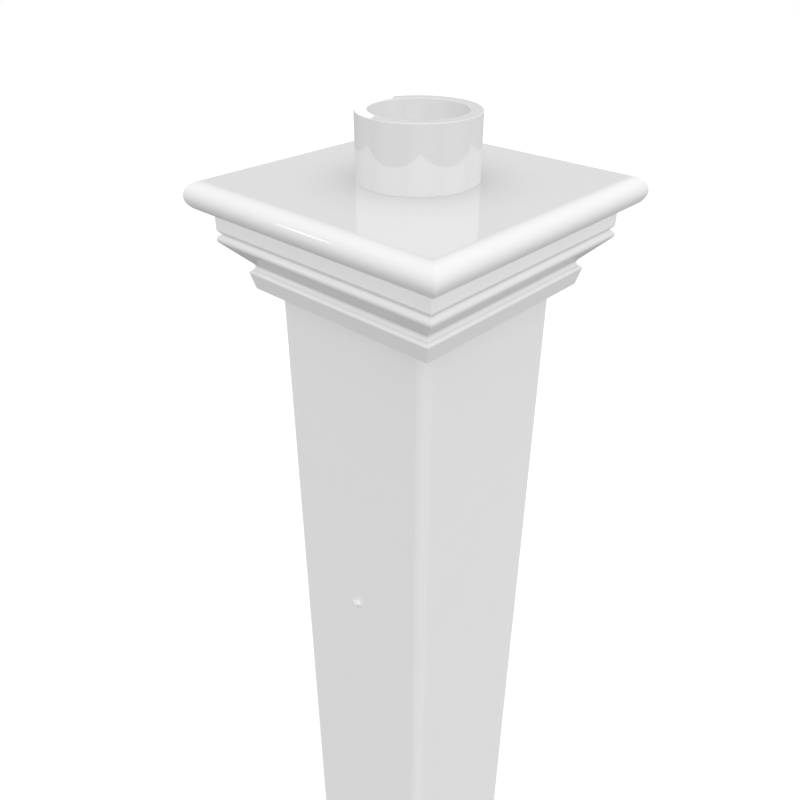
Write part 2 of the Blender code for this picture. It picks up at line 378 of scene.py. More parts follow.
def vinyl(name, gloss, ripple, die_lines, tone=VINYL_TONE, mirror=EVEN_GLOSS):
    made = bpy.data.materials.new(name)
    made.use_nodes = True
    tree = made.node_tree
    shader = tree.nodes["Principled BSDF"]
    shader.inputs["IOR"].default_value = VINYL_IOR
    shader.inputs["Specular IOR Level"].default_value = 0.0
    shader.inputs["Metallic"].default_value = mirror
    colour = add(tree, "ShaderNodeGroup", node_tree=cloudy)
    colour.inputs["Tone"].default_value = tone
    colour.inputs["Drift"].default_value = 0.02
    colour.inputs["Patches per Metre"].default_value = 18.0
    feed(tree, shader.inputs["Base Color"], colour.outputs["Color"])
    surface = add(tree, "ShaderNodeGroup", node_tree=skin)
    surface.inputs["Gloss"].default_value = gloss
    surface.inputs["Gloss Drift"].default_value = 0.01
    surface.inputs["Ripple"].default_value = ripple
    surface.inputs["Die Lines"].default_value = die_lines
    feed(tree, shader.inputs["Roughness"], surface.outputs["Roughness"])
    bump = add(
        tree,
        "ShaderNodeBump",
        {"Height": surface.outputs["Height"], "Strength": 1.0, "Distance": 0.02 * MM},
    )
    feed(tree, shader.inputs["Normal"], bump.outputs["Normal"])
    return made


cap_vinyl = vinyl("glossy_cap_vinyl", CAP_GLOSS, RIPPLE, 0.0)
post_vinyl = vinyl("glossy_post_vinyl", 0.03, RIPPLE, 0.25)
# painted light: the fascia's tone is lighter than the rest of the cap's vinyl
lightened_fascia_vinyl = vinyl("glossy_fascia_vinyl", CAP_GLOSS, RIPPLE, 0.0, grey(0.84))
# painted shade: the crown's tone is a shade greyer than the rest of the cap's vinyl
shaded_crown_vinyl = vinyl("glossy_crown_vinyl", CAP_GLOSS, RIPPLE, 0.0, grey(0.765))
# painted shade: the collar's tone is a shade greyer than the rest of the cap's vinyl
shaded_collar_vinyl = vinyl("glossy_collar_vinyl", CAP_GLOSS, RIPPLE, 0.0, grey(0.765))
# painted shade: the bore is a darker grey for the shade inside the tube; its duller gloss is real
shaded_bore_vinyl = vinyl("dull_bore_vinyl", 0.35, RIPPLE, 0.0, grey(0.68), mirror=0.02)
print("finishes:", ", ".join(paint.name for paint in bpy.data.materials if "vinyl" in paint.name))

# %% [markdown]
# ## Cellular board, zinc and paint
# Three quieter finishes. Cellular vinyl board is matt with fine pores where it was sawn, and zinc
# plate is a soft grey metal with faint crystals; both stay hidden inside the cap. The screws in
# the post are enamelled white, with a duller gloss than the vinyl round them.

# %% Foam board, zinc and enamel
def pored_board(name):
    made = bpy.data.materials.new(name)
    made.use_nodes = True
    tree = made.node_tree
    shader = tree.nodes["Principled BSDF"]
    shader.inputs["IOR"].default_value = VINYL_IOR
    colour = add(tree, "ShaderNodeGroup", node_tree=cloudy)
    colour.inputs["Tone"].default_value = (0.74, 0.74, 0.72, 1.0)
    colour.inputs["Drift"].default_value = 0.10
    colour.inputs["Patches per Metre"].default_value = 60.0
    feed(tree, shader.inputs["Base Color"], colour.outputs["Color"])
    place = add(tree, "ShaderNodeTexCoord")
    pores = add(
        tree, "ShaderNodeTexVoronoi", {"Vector": place.outputs["Object"], "Scale": 1400.0}
    )
    matt = add(tree, "ShaderNodeMapRange", {"Value": pores.outputs["Distance"]})
    matt.inputs["To Min"].default_value = 0.62
    matt.inputs["To Max"].default_value = 0.45
    feed(tree, shader.inputs["Roughness"], matt.outputs["Result"])
    bump = add(tree, "ShaderNodeBump", {"Height": pores.outputs["Distance"], "Distance": 0.1 * MM})
    bump.inputs["Strength"].default_value = 0.6
    feed(tree, shader.inputs["Normal"], bump.outputs["Normal"])
    return made


def plated_zinc(name):
    made = bpy.data.materials.new(name)
    made.use_nodes = True
    tree = made.node_tree
    shader = tree.nodes["Principled BSDF"]
    shader.inputs["Metallic"].default_value = 1.0
    place = add(tree, "ShaderNodeTexCoord")
    crystals = add(
        tree, "ShaderNodeTexVoronoi", {"Vector": place.outputs["Object"], "Scale": 900.0}
    )
    tone = add(tree, "ShaderNodeMapRange", {"Value": crystals.outputs["Distance"]})
    tone.inputs["To Min"].default_value = 0.66
    tone.inputs["To Max"].default_value = 0.52
    plate = add(tree, "ShaderNodeCombineColor", {n: tone.outputs["Result"] for n in range(3)})
    feed(tree, shader.inputs["Base Color"], plate.outputs[0])
    dull = add(tree, "ShaderNodeMapRange", {"Value": crystals.outputs["Distance"]})
    dull.inputs["To Min"].default_value = 0.28
    dull.inputs["To Max"].default_value = 0.42
    feed(tree, shader.inputs["Roughness"], dull.outputs["Result"])
    return made


foam_board = pored_board("cellular_vinyl_board")
zinc_plate = plated_zinc("zinc_plate")
screw_paint = vinyl("white_screw_enamel", 0.16, 1.0, 0.0, grey(0.78))
print("finishes:", foam_board.name, zinc_plate.name, screw_paint.name)

# %% [markdown]
# ## Drawing a moulding's outline
# A moulding is an outline pushed along a length. The outline is drawn flat: x is how far out
# from the middle of the post, y is the height. No real plastic corner is perfectly sharp, so
# `eased` rounds each corner by its own radius. It also leaves a holding point a little way along
# each flat, so that smooth shading can't bleed from the small round into the flat.

# %% Outline helpers
ARC_STEP = math.radians(9)
HOLD = 0.15 * MM


def arc(centre, radius, start, end, step=ARC_STEP):
    """Points on a circle between two angles in degrees."""
    sweep = math.radians(end - start)
    count = max(2, math.ceil(abs(sweep) / step))
    turns = [math.radians(start) + sweep * i / count for i in range(count + 1)]
    return [Vector((centre[0] + radius * math.cos(t), centre[1] + radius * math.sin(t)))
            for t in turns]


def eased(corners):
    """A closed outline from (x, y, radius) corners. A radius of 0 keeps the point as it is."""
    outline = []
    for i, (x, y, radius) in enumerate(corners):
        here = Vector((x, y))
        if radius == 0:
            outline.append(here)
            continue
        before = Vector(corners[i - 1][:2]) - here
        after = Vector(corners[(i + 1) % len(corners)][:2]) - here
        reach_before, reach_after = before.length, after.length
        before.normalize()
        after.normalize()
        half_angle = before.angle(after) / 2
        back = radius / math.tan(half_angle)
        centre = here + (before + after).normalized() * radius / math.sin(half_angle)
        first = here + before * back - centre
        last = here + after * back - centre
        sweep = first.angle_signed(last) * -1
        count = max(2, math.ceil(abs(sweep) / ARC_STEP / 2))
        if back + HOLD < reach_before / 2:
            outline.append(here + before * (back + HOLD))
        for k in range(count + 1):
            turn = Matrix.Rotation(sweep * k / count, 2)
            outline.append(centre + turn @ first)
        if back + HOLD < reach_after / 2:
            outline.append(here + after * (back + HOLD))
    return outline


def drawn(name, points, closed=True):
    """The outline as a curve object that a node tree can read. It isn't rendered."""
    curve = bpy.data.curves.new(name, "CURVE")
    curve.dimensions = "3D"
    spline = curve.splines.new("POLY")
    spline.points.add(len(points) - 1)
    for knot, point in zip(spline.points, points):
        knot.co = (point[0], point[1], 0.0, 1.0)
    spline.use_cyclic_u = closed
    made = bpy.data.objects.new(name, curve)
    made.hide_render = True
    bpy.context.scene.collection.objects.link(made)
    return made


tile = [(0, 0, 2 * MM), (0.02, 0, 2 * MM), (0.02, 0.02, 2 * MM), (0, 0.02, 2 * MM)]
print("a square with its four corners eased has", len(eased(tile)), "points")

# %% [markdown]
# ## Node trees for the mouldings
# On the bench, each strip is cut from a length of moulding with a saw set to 45 degrees. In
# Geometry Nodes the same thing is one sum: sweep the outline along a straight line that runs
# from -1 to 1, then move every point to *its own distance out, times that number*. The outer
# points reach further than the inner ones by exactly the mitre. The seam is taken off both ends.

# %% Node tree: shading by angle
CREASE = math.radians(28)


def crease_group():
    """Smooth faces, with a crisp edge wherever two faces meet at more than the crease angle."""
    tree, takes, gives = new_group(
        "smooth with crisp edges",
        "GeometryNodeTree",
        [
            ("Geometry", "NodeSocketGeometry", None),
            ("Also Crisp", "NodeSocketBool", False),
        ],
        [("Geometry", "NodeSocketGeometry")],
    )
    smooth = add(
        tree,
        "GeometryNodeSetShadeSmooth",
        {"Geometry": takes["Geometry"], "Shade Smooth": True},
        domain="FACE",
    )
    bend = add(tree, "GeometryNodeInputMeshEdgeAngle")
    steep = sum_of(tree, "GREATER_THAN", bend.outputs["Unsigned Angle"], CREASE)
    either = sum_of(tree, "MAXIMUM", steep, takes["Also Crisp"])
    crisp = add(
        tree,
        "GeometryNodeSetShadeSmooth",
        {"Geometry": smooth.outputs[0], "Selection": either, "Shade Smooth": False},
        domain="EDGE",
    )
    feed(tree, gives["Geometry"], crisp.outputs[0])
    return tree


crease = crease_group()
print("tree made:", crease.name)

# %% Node tree: sweep an outline and read it back
def sweep_group():
    """Sweeps an outline along a straight line and gives each point's out, height and along."""
    tree, takes, gives = new_group(
        "swept outline",
        "GeometryNodeTree",
        [
            ("Outline", "NodeSocketObject", None),
            ("From", "NodeSocketFloat", -1.0),
            ("To", "NodeSocketFloat", 1.0),
            ("Steps", "NodeSocketInt", 2),
            ("Caps", "NodeSocketBool", True),
        ],
        [
            ("Mesh", "NodeSocketGeometry"),
            ("Out", "NodeSocketFloat"),
            ("Height", "NodeSocketFloat"),
            ("Along", "NodeSocketFloat"),
        ],
    )
    outline = add(tree, "GeometryNodeObjectInfo", {"Object": takes["Outline"]})
    start = add(tree, "ShaderNodeCombineXYZ", {"Z": takes["From"]})
    end = add(tree, "ShaderNodeCombineXYZ", {"Z": takes["To"]})
    line = add(
        tree, "GeometryNodeCurvePrimitiveLine", {"Start": start.outputs[0], "End": end.outputs[0]}
    )
    stops = add(
        tree, "GeometryNodeResampleCurve", {"Curve": line.outputs[0], "Count": takes["Steps"]}
    )
    swept = add(
        tree,
        "GeometryNodeCurveToMesh",
        {
            "Curve": stops.outputs[0],
            "Profile Curve": outline.outputs["Geometry"],
            "Fill Caps": takes["Caps"],
        },
    )
    place = add(tree, "GeometryNodeInputPosition")
    parts = add(tree, "ShaderNodeSeparateXYZ", {0: place.outputs[0]})
    feed(tree, gives["Mesh"], swept.outputs[0])
    feed(tree, gives["Out"], parts.outputs["X"])
    feed(tree, gives["Height"], parts.outputs["Y"])
    feed(tree, gives["Along"], parts.outputs["Z"])
    return tree


sweep = sweep_group()
print("tree made:", sweep.name)

# %% Node tree: mitred strip
def strip_tree():
    tree, takes, gives = new_group(
        "mitred strip",
        "GeometryNodeTree",
        [
            ("Outline", "NodeSocketObject", None),
            ("Seam", "NodeSocketFloat", 0.0001),
            ("Turn", "NodeSocketFloat", 0.0),
            ("Finish", "NodeSocketMaterial", None),
        ],
        [("Geometry", "NodeSocketGeometry")],
    )
    swept = add(tree, "GeometryNodeGroup", node_tree=sweep)
    feed(tree, swept.inputs["Outline"], takes["Outline"])
    short = sum_of(tree, "SUBTRACT", swept.outputs["Out"], takes["Seam"])
    across = sum_of(tree, "MULTIPLY", short, swept.outputs["Along"])
    facing = sum_of(tree, "MULTIPLY", swept.outputs["Out"], -1.0)
    mitred = add(
        tree,
        "ShaderNodeCombineXYZ",
        {"X": sum_of(tree, "MULTIPLY", across, -1.0), "Y": facing, "Z": swept.outputs["Height"]},
    )
    cut = add(
        tree,
        "GeometryNodeSetPosition",
        {"Geometry": swept.outputs["Mesh"], "Position": mitred.outputs[0]},
    )
    spin = add(tree, "ShaderNodeCombineXYZ", {"Z": takes["Turn"]})
    turned = add(
        tree, "GeometryNodeTransform", {"Geometry": cut.outputs[0], "Rotation": spin.outputs[0]}
    )
    shaded = add(tree, "GeometryNodeGroup", node_tree=crease)
    feed(tree, shaded.inputs["Geometry"], turned.outputs[0])
    real = add(tree, "GeometryNodeRealizeInstances", {0: shaded.outputs[0]})
    painted = add(
        tree,
        "GeometryNodeSetMaterial",
        {"Geometry": real.outputs[0], "Material": takes["Finish"]},
    )
    feed(tree, gives["Geometry"], painted.outputs[0])
    return tree


strips = strip_tree()
print("tree made:", strips.name)

# %% [markdown]
# ## From a node tree to a plain piece
# A modifier's inputs are set by the socket's identifier, not by its name, and before the object
# is first evaluated. The result is then copied to a plain mesh, because a finished piece should
# carry no live tree. `grow` does this for every piece, and hands it to the body that carries it.

# %% Make a piece from a tree
def grow(name, tree, settings, body, stands_for):
    maker = bpy.data.objects.new(name + "_maker", bpy.data.meshes.new(name + "_maker"))
    bpy.context.scene.collection.objects.link(maker)
    modifier = maker.modifiers.new("maker", "NODES")
    modifier.node_group = tree
    for item in tree.interface.items_tree:
        if item.item_type == "SOCKET" and item.in_out == "INPUT" and item.name in settings:
            modifier[item.identifier] = settings[item.name]
    bpy.context.view_layer.update()
    graph = bpy.context.evaluated_depsgraph_get()
    mesh = bpy.data.meshes.new_from_object(maker.evaluated_get(graph), depsgraph=graph)
    mesh.name = name
    bpy.data.objects.remove(maker)
    return settle(name, mesh, body, stands_for)


def settle(name, mesh, body, stands_for):
    """Put a finished mesh in the scene as a piece of that body, in place of the model's nodes."""
    piece = bpy.data.objects.new(name, mesh)
    bpy.context.scene.collection.objects.link(piece)
    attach(piece, body)
    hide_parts(*stands_for)
    check = bmesh.new()
    check.from_mesh(mesh)
    open_edges = sum(1 for edge in check.edges if not edge.is_manifold)
    volume = check.calc_volume(signed=True)
    check.free()
    print(f"{name}: {len(mesh.polygons)} faces, {volume * 1e6:.1f} cm3, {open_edges} open edges")
    return piece


# %% [markdown]
# ## Fascia, crown and drip band
# The three mouldings wrap the head of the post, four strips each. The fascia is a flat board
# with a small chamfer on its lower edge, which makes the fine line above the crown. The crown
# has a bead, a straight slope at 45 degrees and a short neck that flares a little at its foot.
# The drip band kicks out to a small rounded tip that throws rain clear, then slants back in to
# the post. The core boards behind them are plain strips.

# %% Moulding outlines
CLOSE_UP = 0.25 * MM  # closes the seam that the model leaves between two pieces


def out_and_height(node):
    """(inner, outer, foot, top) of a strip on the front side."""
    low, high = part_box(node)
    return -high.y, -low.y, low.z, high.z


def fascia_outline():
    inner, outer, foot, top = out_and_height("fascia_front")
    chamfer_in, chamfer_up = 1.8 * MM, 2.4 * MM
    return eased([
        (inner, foot, 0.3 * MM),
        (outer - chamfer_in, foot, 0.3 * MM),
        (outer, foot + chamfer_up, 0.5 * MM),
        (outer, top, 0.3 * MM),
        (inner, top, 0.3 * MM),
    ])


def crown_outline():
    inner, outer, foot, top = out_and_height("crown_front")
    bead_r = 3.3 * MM
    neck = 73.5 * MM
    neck_foot = foot + 1.6 * MM
    flare = 1.2 * MM  # how much further out the foot of the neck is
    bead = arc((outer - bead_r, top - bead_r), bead_r, 90, -45)
    slope_out, slope_height = bead[-1]
    back = outer - bead_r - 5.6 * MM
    back_height = slope_height - (slope_out - back) + 9.7 * MM
    corners = [
        (inner, back_height - (back - inner), 1.0 * MM),
        (inner, foot, 0.3 * MM),
        (neck + flare, foot, 0.1 * MM),
        (neck, neck_foot, 2.4 * MM),
        (neck, slope_height - (slope_out - neck), 1.6 * MM),
    ]
    corners += [(x, y, 0) for x, y in reversed(bead)]
    corners += [(back, top, 0.3 * MM), (back, back_height, 1.0 * MM)]
    return eased(corners)


def drip_outline():
    inner, outer, foot, top = out_and_height("drip_band_front")
    top += CLOSE_UP
    tip_below_top, tip_past_top, tip_past_foot = 1.2 * MM, 2.1 * MM, 2.9 * MM
    return eased([
        (inner, foot, 0.3 * MM),
        (outer - tip_past_foot, foot, 0.3 * MM),
        (outer, top - tip_below_top, 1.5 * MM),
        (outer - tip_past_top, top, 0.1 * MM),
        (inner, top, 0.3 * MM),
    ])


def core_outline():
    inner, outer, foot, top = out_and_height("core_board_front")
    ease = 0.4 * MM
    return eased([(inner, foot, ease), (outer, foot, ease), (outer, top, ease), (inner, top, ease)])


# %% Moulding strips
SIDES = {"front": 0, "right": 90, "back": 180, "left": 270}
mouldings = {
    "fascia": (fascia_outline(), lightened_fascia_vinyl, "white_vinyl"),
    "crown": (crown_outline(), shaded_crown_vinyl, "white_vinyl"),
    "drip_band": (drip_outline(), cap_vinyl, "white_vinyl"),
    "core_board": (core_outline(), foam_board, "vinyl_board"),
}
for kind, (points, finish, finish_slot) in mouldings.items():
    outline = drawn(kind + "_outline", points)
    for side, turn in SIDES.items():
        grow(
            f"trim_{kind}_{side}",
            strips,
            {"Outline": outline, "Seam": SEAM, "Turn": math.radians(turn), "Finish": finish},
            "cap",
            [f"{kind}_{side}"],
        )
    bpy.data.objects.remove(outline)

# %% [markdown]
# ## The top board
# A flat board with a half-round edge on all four sides. It is one quarter of the board made four
# times: half of the section is swept and mitred as the strips were, but from the very middle out,
# so the quarter is a slice of the board. Four slices are joined and welded, and a hole for the
# cable is cut through. The mitre at each corner of the rounded edge stays a crisp line.

# %% Node tree: four-sided board
WELD = 0.002 * MM


def board_tree():
    tree, takes, gives = new_group(
        "four-sided board",
        "GeometryNodeTree",
        [
            ("Half Section", "NodeSocketObject", None),
            ("Hole Radius", "NodeSocketFloat", 0.016),
            ("Height", "NodeSocketFloat", 0.0),
            ("Finish", "NodeSocketMaterial", None),
        ],
        [("Geometry", "NodeSocketGeometry")],
    )
    swept = add(tree, "GeometryNodeGroup", node_tree=sweep)
    feed(tree, swept.inputs["Outline"], takes["Half Section"])
    across = sum_of(tree, "MULTIPLY", swept.outputs["Out"], swept.outputs["Along"])
    slice_place = add(
        tree,
        "ShaderNodeCombineXYZ",
        {
            "X": sum_of(tree, "MULTIPLY", across, -1.0),
            "Y": sum_of(tree, "MULTIPLY", swept.outputs["Out"], -1.0),
            "Z": swept.outputs["Height"],
        },
    )
    quarter = add(
        tree,
        "GeometryNodeSetPosition",
        {"Geometry": swept.outputs["Mesh"], "Position": slice_place.outputs[0]},
    )
    four = add(tree, "GeometryNodeJoinGeometry")
    for turn in SIDES.values():
        spun = add(
            tree,
            "GeometryNodeTransform",
            {"Geometry": quarter.outputs[0], "Rotation": (0.0, 0.0, math.radians(turn))},
        )
        tree.links.new(spun.outputs[0], four.inputs[0])
    whole = add(
        tree, "GeometryNodeMergeByDistance", {"Geometry": four.outputs[0], "Distance": WELD}
    )
    drill = add(
        tree,
        "GeometryNodeMeshCylinder",
        {"Vertices": 96, "Radius": takes["Hole Radius"], "Depth": 0.1},
    )
    aim = add(tree, "ShaderNodeCombineXYZ", {"Z": takes["Height"]})
    set_drill = add(
        tree,
        "GeometryNodeTransform",
        {"Geometry": drill.outputs["Mesh"], "Translation": aim.outputs[0]},
    )
    bored = add(
        tree,
        "GeometryNodeMeshBoolean",
        {0: whole.outputs[0]},
        operation="DIFFERENCE",
        solver="EXACT",
    )
    tree.links.new(set_drill.outputs[0], bored.inputs[1])
    place = add(tree, "GeometryNodeInputPosition")
    spot = add(tree, "ShaderNodeSeparateXYZ", {0: place.outputs[0]})
    off_mitre = sum_of(
        tree,
        "SUBTRACT",
        sum_of(tree, "ABSOLUTE", spot.outputs["X"]),
        sum_of(tree, "ABSOLUTE", spot.outputs["Y"]),
    )
    on_mitre = sum_of(tree, "LESS_THAN", sum_of(tree, "ABSOLUTE", off_mitre), WELD)
    shaded = add(tree, "GeometryNodeGroup", node_tree=crease)
    feed(tree, shaded.inputs["Geometry"], bored.outputs[0])
    feed(tree, shaded.inputs["Also Crisp"], on_mitre)
    real = add(tree, "GeometryNodeRealizeInstances", {0: shaded.outputs[0]})
    painted = add(
        tree,
        "GeometryNodeSetMaterial",
        {"Geometry": real.outputs[0], "Material": takes["Finish"]},
    )
    feed(tree, gives["Geometry"], painted.outputs[0])
    return tree


boards = board_tree()
print("tree made:", boards.name)

# %% Top board
BULLNOSE_STEP = math.radians(4.5)
nose_r = BOARD_THICK / 2
nose_out = BOARD_HALF - nose_r
nose_middle = TOP - nose_r
flat_end = nose_out - 2 * HOLD
half_section = [Vector((0, board_low.z)), Vector((flat_end, board_low.z))]
half_section += arc((nose_out, nose_middle), nose_r, -90, 90, BULLNOSE_STEP)
half_section += [Vector((flat_end, TOP)), Vector((0, TOP))]
cable_hole_r = 15.9 * MM
outline = drawn("board_half_section", half_section, closed=False)
grow(
    "bullnose_top_board",
    boards,
    {"Half Section": outline, "Hole Radius": cable_hole_r, "Height": TOP, "Finish": cap_vinyl},
    "cap",
    ["top_board"],
)
bpy.data.objects.remove(outline)

# %% [markdown]
# ## The collar
# A short length of round tube that a post lantern slides over. A lathe piece is an outline turned
# about an axis, so the same sweep is used again: this time how far along a point is becomes an
# angle. The ends meet and are welded. The rim is eased, as a saw-cut end is after a scrape. Every
# face nearer the axis than the middle radius gets the bore's finish, which is duller and carries
# painted shade: a darker grey for the shade inside the tube.

# %% Node tree: turned piece
def turned_group():
    tree, takes, gives = new_group(
        "turned piece",
        "GeometryNodeTree",
        [
            ("Outline", "NodeSocketObject", None),
            ("Steps", "NodeSocketInt", 64),
        ],
        [("Geometry", "NodeSocketGeometry")],
    )
    stops = sum_of(tree, "ADD", takes["Steps"], 1.0)
    swept = add(tree, "GeometryNodeGroup", node_tree=sweep)
    feed(tree, swept.inputs["Outline"], takes["Outline"])
    feed(tree, swept.inputs["From"], 0.0)
    feed(tree, swept.inputs["To"], 1.0)
    feed(tree, swept.inputs["Steps"], stops)
    feed(tree, swept.inputs["Caps"], False)
    angle = sum_of(tree, "MULTIPLY", swept.outputs["Along"], 2 * math.pi)
    round_place = add(
        tree,
        "ShaderNodeCombineXYZ",
        {
            "X": sum_of(
                tree, "MULTIPLY", swept.outputs["Out"], sum_of(tree, "SINE", angle)
            ),
            "Y": sum_of(
                tree,
                "MULTIPLY",
                sum_of(tree, "MULTIPLY", swept.outputs["Out"], -1.0),
                sum_of(tree, "COSINE", angle),
            ),
            "Z": swept.outputs["Height"],
        },
    )
    bent = add(
        tree,
        "GeometryNodeSetPosition",
        {"Geometry": swept.outputs["Mesh"], "Position": round_place.outputs[0]},
    )
    welded = add(
        tree, "GeometryNodeMergeByDistance", {"Geometry": bent.outputs[0], "Distance": WELD}
    )
    outward = add(tree, "GeometryNodeFlipFaces", {"Mesh": welded.outputs[0]})
    feed(tree, gives["Geometry"], outward.outputs[0])
    return tree


turned = turned_group()


def ring_tree():
    tree, takes, gives = new_group(
        "turned ring",
        "GeometryNodeTree",
        [
            ("Outline", "NodeSocketObject", None),
            ("Steps", "NodeSocketInt", 64),
            ("Middle Radius", "NodeSocketFloat", 0.03),
            ("Finish", "NodeSocketMaterial", None),
            ("Bore Finish", "NodeSocketMaterial", None),
        ],
        [("Geometry", "NodeSocketGeometry")],
    )
    spun = add(tree, "GeometryNodeGroup", node_tree=turned)
    feed(tree, spun.inputs["Outline"], takes["Outline"])
    feed(tree, spun.inputs["Steps"], takes["Steps"])
    shaded = add(tree, "GeometryNodeGroup", node_tree=crease)
    feed(tree, shaded.inputs["Geometry"], spun.outputs[0])
    real = add(tree, "GeometryNodeRealizeInstances", {0: shaded.outputs[0]})
    painted = add(
        tree,
        "GeometryNodeSetMaterial",
        {"Geometry": real.outputs[0], "Material": takes["Finish"]},
    )
    place = add(tree, "GeometryNodeInputPosition")
    flat = add(
        tree,
        "ShaderNodeVectorMath",
        {0: place.outputs[0], 1: (1.0, 1.0, 0.0)},
        operation="MULTIPLY",
    )
    reach = add(tree, "ShaderNodeVectorMath", {0: flat.outputs["Vector"]}, operation="LENGTH")
    inside = sum_of(tree, "LESS_THAN", reach.outputs["Value"], takes["Middle Radius"])
    bore = add(
        tree,
        "GeometryNodeSetMaterial",
        {
            "Geometry": painted.outputs[0],
            "Selection": inside,
            "Material": takes["Bore Finish"],
        },
    )
    feed(tree, gives["Geometry"], bore.outputs[0])
    return tree


rings = ring_tree()
print("trees made:", turned.name, "and", rings.name)

# %% Collar
bore_r = 30.2 * MM
rim_ease = 0.4 * MM
foot_ease = 0.05 * MM
foot_height = collar_low.z - CLOSE_UP
collar_section = eased([
    (bore_r, foot_height, foot_ease),
    (COLLAR_R, foot_height, foot_ease),
    (COLLAR_R, collar_high.z, rim_ease),
    (bore_r, collar_high.z, rim_ease),
])
outline = drawn("collar_section", collar_section)
grow(
    "lantern_collar",
    rings,
    {
        "Outline": outline,
        "Steps": 160,
        "Middle Radius": bore_r + rim_ease,
        "Finish": shaded_collar_vinyl,
        "Bore Finish": shaded_bore_vinyl,
    },
    "cap",
    ["collar_ring"],
)
bpy.data.objects.remove(outline)

# %% [markdown]
# ## The post
# An extruded square tube with rounded corners. The wall's own section, eased at both cut ends, is
# taken round the square loop by loop: each point of the section makes one loop, and its corner
# radius shrinks by as much as the loop is set in, so the wall keeps its thickness round the bend.

# %% Post sleeve
POST_WALL = 3.8 * MM
POST_CORNER = 7.0 * MM
CORNER_STEPS = 16


def square_loop(half, radius):
    """Points round a square with rounded corners, with a holding point on each flat."""
    inset = half - radius
    points = []
    for x, y, start in ((inset, inset, 0), (-inset, inset, 90), (-inset, -inset, 180),
                        (inset, -inset, 270)):
        corner = arc((x, y), radius, start, start + 90, math.radians(90 / CORNER_STEPS))
        into = Vector((math.sin(math.radians(start)), -math.cos(math.radians(start))))
        out = Vector((-math.cos(math.radians(start)), -math.sin(math.radians(start))))
        points += [corner[0] + into * 3 * HOLD] + corner + [corner[-1] + out * 3 * HOLD]
    return points


def loop_tube(name, section, half, corner):
    """A closed section of (out, height) points taken round the square."""
    mesh = bmesh.new()
    loops = []
    for out, height in section:
        flat_loop = square_loop(out, corner - (half - out))
        loops.append([mesh.verts.new((p.x, p.y, height)) for p in flat_loop])
    for below, above in zip(loops, loops[1:] + loops[:1]):
        for i in range(len(below)):
            j = (i + 1) % len(below)
            mesh.faces.new((below[i], below[j], above[j], above[i]))
    bmesh.ops.recalc_face_normals(mesh, faces=mesh.faces)
    made = bpy.data.meshes.new(name)
    mesh.to_mesh(made)
    mesh.free()
    made.shade_smooth()
    made.set_sharp_from_angle(angle=CREASE)
    return made


end_ease = 0.5 * MM
wall_in = POST_HALF - POST_WALL
post_section = eased([
    (wall_in, post_low.z, end_ease),
    (POST_HALF, post_low.z, end_ease),
    (POST_HALF, post_high.z, end_ease),
    (wall_in, post_high.z, end_ease),
])
sleeve_mesh = loop_tube("vinyl_post_sleeve", post_section, POST_HALF, POST_CORNER)
sleeve_mesh.materials.append(post_vinyl)
settle("vinyl_post_sleeve", sleeve_mesh, "post", ["post_sleeve"])

# %% [markdown]
# ## Screws
# Each screw is a lathe piece with a cross recess cut in its head. Its length comes from the model,
# and one tree sets a whole row: the screw is instanced on points, and each point carries the way
# its screw is driven. The thread is a stack of fine rings, which reads as a thread at this size.

# %% Node tree: row of screws
def screw_tree():
    tree, takes, gives = new_group(
        "row of screws",
        "GeometryNodeTree",
        [
            ("Outline", "NodeSocketObject", None),
            ("Places", "NodeSocketObject", None),
            ("Recess Width", "NodeSocketFloat", 0.001),
            ("Recess Span", "NodeSocketFloat", 0.004),
            ("Head Height", "NodeSocketFloat", 0.0026),
            ("Finish", "NodeSocketMaterial", None),
        ],
        [("Geometry", "NodeSocketGeometry")],
    )
    blank = add(tree, "GeometryNodeGroup", node_tree=turned)
    feed(tree, blank.inputs["Outline"], takes["Outline"])
    feed(tree, blank.inputs["Steps"], 32)
    deep = sum_of(tree, "MULTIPLY", takes["Head Height"], 1.3)
    bar_size = add(
        tree,
        "ShaderNodeCombineXYZ",
        {"X": takes["Recess Span"], "Y": takes["Recess Width"], "Z": deep},
    )
    bar = add(tree, "GeometryNodeMeshCube", {"Size": bar_size.outputs[0]})
    under = add(
        tree,
        "ShaderNodeCombineXYZ",
        {"Z": sum_of(tree, "MULTIPLY", takes["Head Height"], -1.0)},
    )
    cross = add(
        tree,
        "GeometryNodeMeshBoolean",
        {0: blank.outputs[0]},
        operation="DIFFERENCE",
        solver="EXACT",
    )
    for turn in (45, 135):
        arm = add(
            tree,
            "GeometryNodeTransform",
            {
                "Geometry": bar.outputs["Mesh"],
                "Translation": under.outputs[0],
                "Rotation": (0.0, 0.0, math.radians(turn)),
            },
        )
        tree.links.new(arm.outputs[0], cross.inputs[1])
    shaded = add(tree, "GeometryNodeGroup", node_tree=crease)
    feed(tree, shaded.inputs["Geometry"], cross.outputs[0])
    spots = add(tree, "GeometryNodeObjectInfo", {"Object": takes["Places"]})
    way = add(
        tree, "GeometryNodeInputNamedAttribute", {"Name": "driven"}, data_type="FLOAT_VECTOR"
    )
    aim = add(tree, "FunctionNodeAlignRotationToVector", {"Vector": way.outputs[0]}, axis="Z")
    row = add(
        tree,
        "GeometryNodeInstanceOnPoints",
        {
            "Points": spots.outputs["Geometry"],
            "Instance": shaded.outputs[0],
            "Rotation": aim.outputs[0],
        },
    )
    real = add(tree, "GeometryNodeRealizeInstances", {0: row.outputs[0]})
    painted = add(
        tree,
        "GeometryNodeSetMaterial",
        {"Geometry": real.outputs[0], "Material": takes["Finish"]},
    )
    feed(tree, gives["Geometry"], painted.outputs[0])
    return tree


screws = screw_tree()
print("tree made:", screws.name)

# %% Screw outline and places
THREAD_PITCH = 1.6 * MM
THREAD_DEPTH = 0.35 * MM
SHANK_R = 2.0 * MM
SCREW_TIP = 5.0 * MM
THREAD_STOP = 3.0 * MM
BARE_SHANK = 2.4 * MM
HEAD_HEIGHT = 2.6 * MM
HEAD_EASE = 0.1 * MM
DOME_FULLNESS = 0.55  # below 1, the dome is flatter on top than a ball


